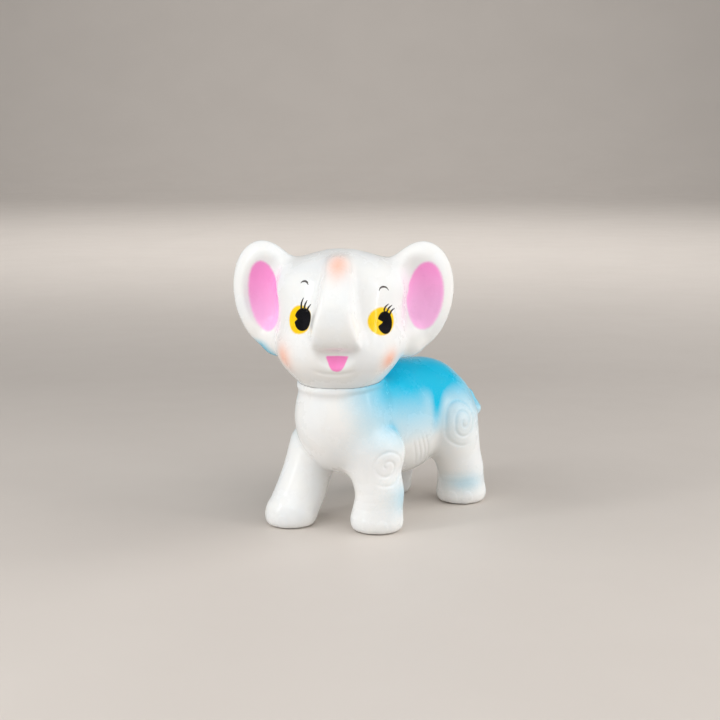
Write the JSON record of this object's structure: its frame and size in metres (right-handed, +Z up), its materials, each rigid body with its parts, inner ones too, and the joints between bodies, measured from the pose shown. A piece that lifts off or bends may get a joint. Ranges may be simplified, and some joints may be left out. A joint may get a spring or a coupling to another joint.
{
  "type": "toy elephant",
  "caption": "Standing soft-vinyl toy elephant with a raised trunk, dished ears, painted eyes and a hollow head that turns in a round, slightly forward-leaning neck collar.",
  "frame": {"origin": "on the floor under the middle of the outline seen from above", "axes": "+Z up, -Y the way the body faces, +X to the animal's left"},
  "size_m": [0.0676, 0.1016, 0.1056],
  "materials": {
    "body_vinyl": "glossy white soft vinyl, blue sprayed over the back",
    "leg_vinyl": "glossy white soft vinyl with faint blue shading",
    "tail_vinyl": "glossy soft vinyl, sprayed pale blue",
    "head_vinyl": "glossy white soft vinyl, painted face, blue sprayed behind",
    "ear_vinyl": "glossy white soft vinyl, pink sprayed in the dish"
  },
  "bodies": {
    "body": {"torso_shell": "body_vinyl", "front_left_leg": "leg_vinyl", "front_right_leg": "leg_vinyl", "hind_left_leg": "leg_vinyl", "hind_right_leg": "leg_vinyl", "tail": "tail_vinyl"},
    "head": {"head_shell": "head_vinyl", "left_ear": "ear_vinyl", "right_ear": "ear_vinyl"}
  },
  "joints": [
    {"name": "head_turn", "type": "hinge", "parent": "body", "child": "head", "pos_m": [0.0057, -0.02443, 0.0547], "axis": [0, -0.061, 0.9981], "continuous": true}
  ]
}
